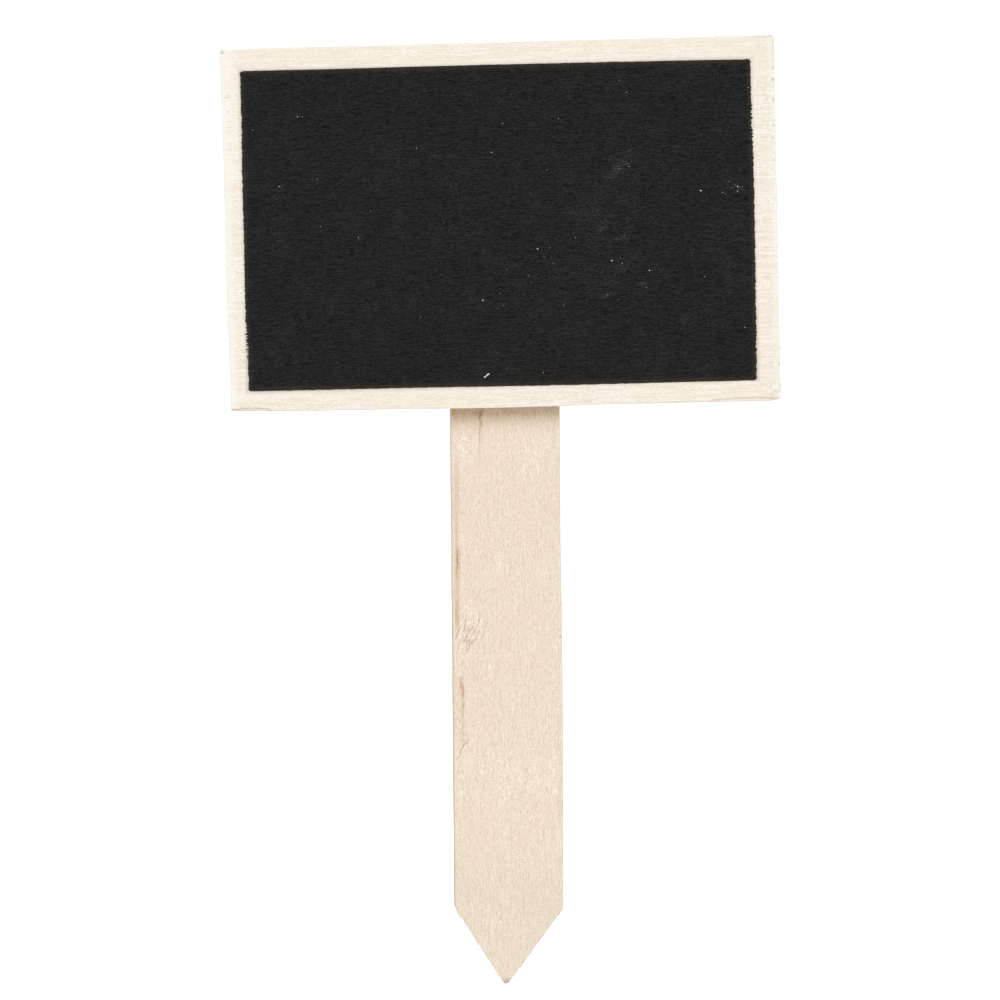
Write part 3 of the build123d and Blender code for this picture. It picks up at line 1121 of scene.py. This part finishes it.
def noise(tree, vector, size, detail=1.0, rough=0.5):
    """Noise on a vector, about as coarse as the size (x, y, z) in millimetres says."""
    scale = tuple(1 / (s * mm) for s in size)
    scaled = place(tree, "ShaderNodeVectorMath", {0: vector, 1: scale}, operation="MULTIPLY")
    settings = {"Scale": 1.0, "Detail": detail, "Roughness": rough}
    return place(tree, "ShaderNodeTexNoise", {"Vector": scaled, **settings})


# %% Helpers for groups of nodes


def new_group(name, inputs, outputs):
    """An empty group with named sockets, its inputs by name and a function that feeds one of its outputs."""
    group = bpy.data.node_groups.new(name, "ShaderNodeTree")
    for label, kind, value in inputs:
        socket = group.interface.new_socket(label, in_out="INPUT", socket_type="NodeSocket" + kind)
        if value is not None:
            socket.default_value = value
    for label, kind in outputs:
        group.interface.new_socket(label, in_out="OUTPUT", socket_type="NodeSocket" + kind)
    entry = group.nodes.new("NodeGroupInput")
    leave = group.nodes.new("NodeGroupOutput")
    return group, entry.outputs, lambda label, value: group.links.new(value, leave.inputs[label])


def use_group(tree, group, inputs):
    """Places a group in a material and returns its outputs by name."""
    made = tree.nodes.new("ShaderNodeGroup")
    made.node_tree = group
    fill(tree, made, inputs)
    return made.outputs


# %% [markdown]
# ## Grain
#
# Pale birch has figure on several scales: fibres a fifth of a millimetre wide,
# specks where they end, bands some millimetres wide where the peeled sheet crosses
# growth rings, and short pores. Most are noise stretched along the grain, because a
# solid pattern then also gives the dots of end grain where the saw has cut across.
# The group takes a position whose grain runs along its Z.

# %% The grain group
def build_grain():
    """Figure of pale wood: Fibres, Bands and Clouds from 0 to 1, Pores as a mask and Height for the bump.

    The tone is 0.5 plus the sum of (noise - 0.5) x amount, over fine fibres, specks and long streaks. Pores
    are where one more noise passes a threshold, which falls as their amount rises.
    """
    inputs = [("Position", "Vector", None)]
    inputs += [(label, "Float", 0.3) for label in ("Pore Amount", "Specks", "Streaks")]
    outputs = [(label, "Float") for label in ("Fibres", "Bands", "Clouds", "Pores", "Height")]
    tree, given, give = new_group("birch_grain", inputs, outputs)
    at = given["Position"]
    fine = noise(tree, at, (0.1, 0.1, 1.0), 2.0, 0.55)
    drawn_out = noise(tree, at, (0.2, 0.2, 6))
    specks = noise(tree, at, (0.16, 0.16, 0.2))
    wide = noise(tree, at, (3.2, 3.2, 30), 2.0)
    soft = noise(tree, at, (1.4, 1.4, 2.6))
    pore_noise = noise(tree, at, (0.22, 0.22, 1.9))
    tone = 0.5
    for part, amount in ((fine, 0.65), (specks, given["Specks"]), (drawn_out, given["Streaks"])):
        swing = maths(tree, "MULTIPLY", maths(tree, "SUBTRACT", part, 0.5), amount)
        tone = maths(tree, "ADD", tone, swing)
    threshold = maths(tree, "SUBTRACT", 0.82, maths(tree, "MULTIPLY", given["Pore Amount"], 0.25))
    pores = remap(tree, pore_noise, threshold, maths(tree, "ADD", threshold, 0.07))
    give("Fibres", remap(tree, tone, 0.405, 0.595))
    give("Bands", remap(tree, wide, 0.3, 0.7))
    give("Clouds", remap(tree, soft, 0.35, 0.65))
    give("Pores", pores)
    give("Height", maths(tree, "SUBTRACT", tone, maths(tree, "MULTIPLY", pores, 0.3)))
    return tree


grain_group = build_grain()

# %% [markdown]
# ## Grey edges
#
# A grey band is laid along each piece's outline, darker on an arris than on a face.
# Each slab keeps, on its points, how far they lie from its outline, so the group
# only has to turn that distance into a soft band and break it up with noise.

# %% The outline-grey group
def build_outline_grey():
    """Tints a colour near an outline: most on it, fading evenly to nothing at the reach, and broken by noise.

    Edge is the distance from the outline, and like Reach it is in metres.
    """
    inputs = [
        ("Color", "Color", (1, 1, 1, 1)),
        ("Edge Grey", "Color", (0.5, 0.5, 0.5, 1)),
        ("Edge", "Float", 1.0),
        ("Reach", "Float", 0.0005),
        ("Amount", "Float", 0.5),
        ("Position", "Vector", None),
    ]
    tree, given, give = new_group("outline_grey", inputs, [("Color", "Color")])
    near = remap(tree, given["Edge"], 0.0, given["Reach"], 1.0, 0.0)
    broken = noise(tree, given["Position"], (1.1, 1.1, 1.1), 3.0, 0.6)
    mask = maths(tree, "MULTIPLY", near, remap(tree, broken, 0.3, 0.65, 0.25, 1.0))
    mask = maths(tree, "MULTIPLY", mask, given["Amount"])
    give("Color", blend(tree, mask, given["Color"], given["Edge Grey"]))
    return tree


edge_group = build_outline_grey()

# %% [markdown]
# ## The finishes
#
# Raw wood is matt, so its roughness stays high and its gloss low; what tells it
# from card is the bump of the fibres and the way stains follow them. Position is
# the piece's own place in metres. For the stake the grain already runs along Z. For
# the board it runs along the board's leaning X, so a Mapping node turns it upright.

# %% What every material shares
# A grey laid near every outline, and on the stake's foot and nose.
edge_and_foot_grey = (0.46, 0.44, 0.38, 1)


def new_finish(name, roughness, gloss):
    """A material with one Principled shader. Even values are set on the shader itself."""
    material = bpy.data.materials.new(name)
    material.use_nodes = True
    tree = material.node_tree
    shader = next(n for n in tree.nodes if n.type == "BSDF_PRINCIPLED")
    shader.inputs["Roughness"].default_value = roughness
    shader.inputs["Specular IOR Level"].default_value = gloss
    position = place(tree, "ShaderNodeTexCoord", out="Object")
    return material, tree, shader, position


def kept_mark(tree, name):
    """Reads a value that a slab keeps on its points."""
    return place(tree, "ShaderNodeAttribute", out="Fac", attribute_name=name)


def tinted(tree, colour, coats):
    """Lays colours over the first in turn. Each coat is a mask, the most that it covers, and a colour."""
    for mask, cover, other in coats:
        colour = blend(tree, maths(tree, "MULTIPLY", mask, cover), colour, other)
    return colour


def grain_on(tree, position, pores, specks, streaks):
    """The grain group on a position whose Z runs along the fibres."""
    amounts = {"Pore Amount": pores, "Specks": specks, "Streaks": streaks}
    return use_group(tree, grain_group, {"Position": position, **amounts})


def greyed_near_outline(tree, position, colour, reach, amount):
    """A colour greyed near the piece's own outline."""
    inputs = {"Color": colour, "Edge Grey": edge_and_foot_grey, "Edge": kept_mark(tree, "edge")}
    inputs |= {"Reach": reach, "Amount": amount, "Position": position}
    return use_group(tree, edge_group, inputs)["Color"]


def wear(tree, shader, colour, height, distance, strength):
    """Feeds a colour into the shader, and a height through a Bump node into its normal."""
    tree.links.new(colour, shader.inputs["Base Color"])
    bump = place(tree, "ShaderNodeBump", {"Height": height, "Distance": distance, "Strength": strength})
    tree.links.new(bump, shader.inputs["Normal"])


# %% Stake wood
stake_light = (0.901, 0.797, 0.69, 1)
stake_dark = (0.648, 0.53, 0.4, 1)
stake_band = (0.75, 0.62, 0.485, 1)
stake_straw = (0.775, 0.67, 0.49, 1)
# A rusty brown for sap and pores, also painted as shade under the board and as shadow in torn gaps.
sap_and_shade_brown = (0.4, 0.195, 0.045, 1)
# A pale cream painted on torn crests and flecks: painted highlight, partly paler fibres.
pale_fibre_highlight = (0.97, 0.92, 0.83, 1)
# Grey on the nose: painted shade at the tip.
nose_shade_grey = (0.24, 0.22, 0.20, 1)


def stake_finish():
    """Peeled birch: warm fibres, rusty streaks, torn grain with painted light, and a nose greyed by painted
    shade.
    """
    material, tree, shader, position = new_finish("stake_birch", 0.72, 0.25)
    grain = grain_on(tree, position, 0.3, 0.6, 0.2)
    scattered = remap(tree, noise(tree, position, (0.26, 0.26, 0.4)), 0.56, 0.62)
    flecks = maths(tree, "MULTIPLY", scattered, kept_mark(tree, "flecked"))
    fibrous = remap(tree, grain["Fibres"], 0.2, 0.8, 0.4, 1.0)
    crests = maths(tree, "MULTIPLY", kept_mark(tree, "pale"), fibrous)
    height = place(tree, "ShaderNodeSeparateXYZ", {"Vector": position}, out="Z")
    coats = [
        (grain["Bands"], 0.25, stake_band),
        (grain["Clouds"], 0.3, stake_straw),
        (grain["Pores"], 0.25, sap_and_shade_brown),
        # Rusty streaks, with painted shade under the board and painted shadow in the torn gaps.
        (kept_mark(tree, "stain_and_shade"), 0.95, sap_and_shade_brown),
        # Painted highlight on the crests of torn slivers and on the flecks.
        (maths(tree, "MAXIMUM", crests, flecks), 0.9, pale_fibre_highlight),
        # The foot turns a little greyer below 26 mm; the strong grey on the nose below it is painted shade.
        (remap(tree, height, 26 * mm, 18 * mm), 0.1, edge_and_foot_grey),
        (remap(tree, height, 1.3 * mm, 0.2 * mm), 0.6, edge_and_foot_grey),
    ]
    colour = tinted(tree, blend(tree, grain["Fibres"], stake_dark, stake_light), coats)
    colour = greyed_near_outline(tree, position, colour, 0.45 * mm, 0.18)
    # Painted shade: the nose darkens to grey over its last millimetre.
    nose = remap(tree, height, 1.2 * mm, 0.2 * mm, 0.0, 0.4)
    wear(tree, shader, blend(tree, nose, colour, nose_shade_grey), grain["Height"], 0.04 * mm, 0.8)
    return material


stake_material = stake_finish()

# %% Board veneers
veneer_light = (0.926, 0.882, 0.812, 1)
veneer_dark = (0.73, 0.644, 0.533, 1)
veneer_band = (0.815, 0.74, 0.635, 1)
veneer_straw = (0.84, 0.765, 0.62, 1)
# A near white painted on the border's outer rim: painted light.
painted_rim_glow = (0.91, 0.89, 0.84, 1)
core_light = (0.80, 0.68, 0.53, 1)
core_dark = (0.62, 0.47, 0.33, 1)
glue_brown = (0.40, 0.25, 0.11, 1)
pore_grey = (0.36, 0.32, 0.27, 1)
bled_paint = (0.1, 0.095, 0.08, 1)


def board_grain_vector(tree, position):
    """Turns the board's leaning X onto Z, so that the grain runs across the board."""
    return place(tree, "ShaderNodeMapping", {"Vector": position, "Rotation": (0, board_lean - pi / 2, 0)})


def veneer_finish(name, light, dark, band, across, pores):
    """Sanded veneer. across says whether its grain runs across the board, as on the two outer plies."""
    material, tree, shader, position = new_finish(name, 0.75, 0.22)
    at = board_grain_vector(tree, position) if across else position
    grain = grain_on(tree, at, pores, 0.95, 0.48)
    coats = [
        (grain["Bands"], 0.5, band),
        (grain["Clouds"], 0.3, veneer_straw),
        (grain["Pores"], 0.2, glue_brown),
        # Painted light along the border's outer rim.
        (kept_mark(tree, "rim_glow"), 0.62, painted_rim_glow),
        (kept_mark(tree, "pores"), 0.6, pore_grey),
        (kept_mark(tree, "stain_and_shade"), 0.75, glue_brown),
        (kept_mark(tree, "bled"), 0.32, bled_paint),
    ]
    colour = tinted(tree, blend(tree, grain["Fibres"], dark, light), coats)
    wear(tree, shader, greyed_near_outline(tree, position, colour, 0.3 * mm, 0.08), grain["Height"], 0.03 * mm, 0.7)
    return material


face_material = veneer_finish("face_birch", veneer_light, veneer_dark, veneer_band, True, 0.35)
core_material = veneer_finish("core_birch", core_light, core_dark, core_dark, False, 0.6)

# %% [markdown]
# ### Glue
#
# The two ply films are a brown resin, seen only as hairlines round the edge of the
# board. The glue that holds the stake is a cream wood glue. Both get a little
# unevenness, so that a hairline is not a ruled line.

# %% Glue films
def glue_finish(name, first, second, roughness):
    """Cured glue: two close tones in soft clouds and a fine bump."""
    material, tree, shader, position = new_finish(name, roughness, 0.4)
    clouds = noise(tree, position, (1.5, 1.5, 1.5), 3.0, 0.6)
    wear(tree, shader, blend(tree, remap(tree, clouds, 0.3, 0.7), first, second), clouds, 0.03 * mm, 0.5)
    return material


resin_dark, resin_light = (0.30, 0.16, 0.07, 1), (0.52, 0.34, 0.18, 1)
cream_dark, cream_light = (0.70, 0.60, 0.42, 1), (0.82, 0.74, 0.56, 1)
ply_glue_material = glue_finish("ply_resin", resin_dark, resin_light, 0.5)
stake_glue_material = glue_finish("wood_glue", cream_dark, cream_light, 0.4)

# %% [markdown]
# ### Chalkboard paint
#
# Flat black paint full of fine mineral. It scatters a little light everywhere and
# has almost no mirror. The grain of the veneer is told by both tone and bump, which
# the same grain group gives: the light and shade on that telegraphed grain, with
# darker pores, are painted into the tone. Chalk lies on top where it was smeared:
# the smear says where, and a fine noise breaks it into powder.

# %% Paint and chalk
# The two ends of the paint's tone across the telegraphed grain, and its pores: painted light and shade.
paint_in_shade = (0.0065, 0.0066, 0.0066, 1)
paint_in_light = (0.0221, 0.0222, 0.0218, 1)
painted_pore_shade = (0.0028, 0.0028, 0.0028, 1)
thin_paint = (0.125, 0.09, 0.055, 1)
chalk_white = (0.80, 0.79, 0.77, 1)
chalk_shade = (0.10, 0.10, 0.10, 1)


def paint_finish():
    """Flat black paint over telegraphed grain, brownish where its rim thins out, with chalk powder on top.

    The grain's light and shade, darker pores included, are painted into its tone.
    """
    material, tree, shader, position = new_finish("chalkboard_paint", 0.9, 0.1)
    grain = grain_on(tree, board_grain_vector(tree, position), 1.0, 0.75, 0.34)
    thin = remap(tree, kept_mark(tree, "edge"), 0.0, 1.4 * mm, 1.0, 0.0)
    powder = remap(tree, noise(tree, position, (0.2, 0.2, 0.2)), 0.56, 0.72)
    haze = remap(tree, noise(tree, position, (7, 7, 7), 3.0, 0.6), 0.45, 0.75, 0.0, 0.05)
    dusty = maths(tree, "ADD", maths(tree, "MULTIPLY", kept_mark(tree, "smear"), 0.22), haze)
    coats = [
        (grain["Pores"], 0.65, painted_pore_shade),
        (maths(tree, "MULTIPLY", thin, thin), 0.21, thin_paint),
        (powder, dusty, chalk_white),
    ]
    colour = tinted(tree, blend(tree, grain["Fibres"], paint_in_shade, paint_in_light), coats)
    wear(tree, shader, colour, grain["Height"], 0.03 * mm, 0.8)
    return material


def chalk_finish():
    """Crumbly chalk. Thin crumbs let the black through, which their tone says."""
    material, tree, shader, position = new_finish("chalk", 0.95, 0.1)
    clouds = noise(tree, position, (0.1, 0.1, 0.1), 2.0, 0.6)
    share = maths(tree, "MULTIPLY", kept_mark(tree, "tone"), remap(tree, clouds, 0.3, 0.6, 0.6, 1.0))
    wear(tree, shader, blend(tree, share, chalk_shade, chalk_white), clouds, 0.02 * mm, 0.6)
    return material


paint_material = paint_finish()
chalk_material = chalk_finish()
print(len(bpy.data.materials), "materials")

# %% [markdown]
# ## Dress the frame
#
# Each new piece stands for the node that it was measured from and rides on the one
# body of the label. The stake's glue keeps its own construction mesh, since it is a
# plain film that nothing shows but its edge.

# %% Hand each piece its finish


def dress(piece, material, node=None):
    """Gives a piece its material, hides the node that it stands for and ties it to the body."""
    piece.data.materials.clear()
    piece.data.materials.append(material)
    if node:
        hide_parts(node)
    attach(piece, "root")


dress(stake_piece, stake_material, "stake")
dress(layer_pieces["face_veneer"], face_material, "face_veneer")
dress(layer_pieces["back_veneer"], face_material, "back_veneer")
dress(layer_pieces["core_veneer"], core_material, "core_veneer")
dress(layer_pieces["front_ply_glue"], ply_glue_material, "front_ply_glue")
dress(layer_pieces["rear_ply_glue"], ply_glue_material, "rear_ply_glue")
dress(coat_piece, paint_material, "chalk_coat")
dress(crumbs_piece, chalk_material)
glue_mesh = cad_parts["stake_glue"].data
glue_mesh.materials.clear()
glue_mesh.materials.append(stake_glue_material)

# %% [markdown]
# ## Light, floor and camera
#
# The picture is a plain product shot: soft warm light from all round, and one broad
# cooler light from above, in front and to the right, which draws the shadow of the
# board on the stake. A sun with a wide disc gives that light without growing weaker
# across the floor. Floor and surroundings look white to the camera, so that no
# horizon shows, but shed a softer and warmer light on the object: a Light Path node
# tells the two kinds of ray apart.

# %% Stage and lights
scene = bpy.context.scene
floor_radius = 6.0
floor_sides = 96
floor_bounce = (0.90, 0.83, 0.72, 1)
black = (0, 0, 0, 1)
seen_white = (1.2, 1.2, 1.2, 1)
sky_shed = (0.444, 0.396, 0.325, 1)
key_colour = (0.9125, 1.01, 1.178)


def build_floor():
    """A round floor, level with the stake's nose. The camera sees it lit to an even white."""
    turn = np.linspace(0, 2 * pi, floor_sides, endpoint=False)
    rim = np.stack([floor_radius * np.cos(turn), floor_radius * np.sin(turn), 0 * turn], axis=-1)
    mesh = bpy.data.meshes.new("floor")
    mesh.from_pydata(rim, [], [list(range(floor_sides))])
    floor = bpy.data.objects.new("floor", mesh)
    scene.collection.objects.link(floor)
    material, tree, shader, _ = new_finish("floor_white", 0.9, 0.0)
    shader.inputs["Emission Strength"].default_value = 1.0
    camera_ray = place(tree, "ShaderNodeLightPath", out="Is Camera Ray")
    tree.links.new(blend(tree, camera_ray, floor_bounce, black), shader.inputs["Base Color"])
    tree.links.new(blend(tree, camera_ray, black, seen_white), shader.inputs["Emission Color"])
    mesh.materials.append(material)
    floor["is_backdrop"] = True


def build_surroundings():
    """Surroundings that look white to the camera and shed a softer, even light on the object."""
    world = bpy.data.worlds.new("studio")
    world.use_nodes = True
    scene.world = world
    tree = world.node_tree
    background = next(n for n in tree.nodes if n.type == "BACKGROUND")
    camera_ray = place(tree, "ShaderNodeLightPath", out="Is Camera Ray")
    tree.links.new(blend(tree, camera_ray, sky_shed, seen_white), background.inputs["Color"])


def build_sun(name, strength, disc, azimuth, elevation):
    """A sun with a disc this many degrees wide. The azimuth counts from the front towards the right."""
    light = bpy.data.lights.new(name, "SUN")
    light.energy = strength
    light.angle = radians(disc)
    light.color = key_colour
    sun = bpy.data.objects.new(name, light)
    sun.rotation_euler = (radians(90 - elevation), 0, radians(azimuth))
    scene.collection.objects.link(sun)


build_floor()
build_surroundings()
build_sun("key", strength=2.37, disc=45, azimuth=22, elevation=37)
scene.view_settings.view_transform = "Standard"

# %% [markdown]
# The photograph was taken square on from far away, so the camera has a long lens
# and looks level along the depth of the board. The label hangs in the picture with
# its stake half a degree off upright, which is a roll of the camera.

# %% Camera
picture_width = 181.7 * mm
camera_distance = 1.5
sensor_width = 36.0
picture_centre = (-1.02 * mm, 87.84 * mm)
camera_roll = radians(0.5)
nearest_seen = 0.1

camera_data = bpy.data.cameras.new("camera")
camera_data.sensor_width = sensor_width
camera_data.lens = sensor_width * camera_distance / picture_width
camera_data.clip_start = nearest_seen
camera = bpy.data.objects.new("camera", camera_data)
camera.location = (picture_centre[0], -camera_distance, picture_centre[1])
camera.rotation_euler = (pi / 2, camera_roll, 0)
scene.collection.objects.link(camera)
scene.camera = camera
print(f"lens {camera_data.lens:.0f} mm")

# %% [markdown]
# ## Measure and finish
#
# The dressed object is measured against its construction, and how far its box grows
# beyond the construction's box on each side is printed.

# %% Print how far the box grows
low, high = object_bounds()
growth = [*(cad - own for cad, own in zip(cad_low, low)), *(own - cad for cad, own in zip(cad_high, high))]
print("the box grows by", [round(value / mm, 3) for value in growth], "mm")
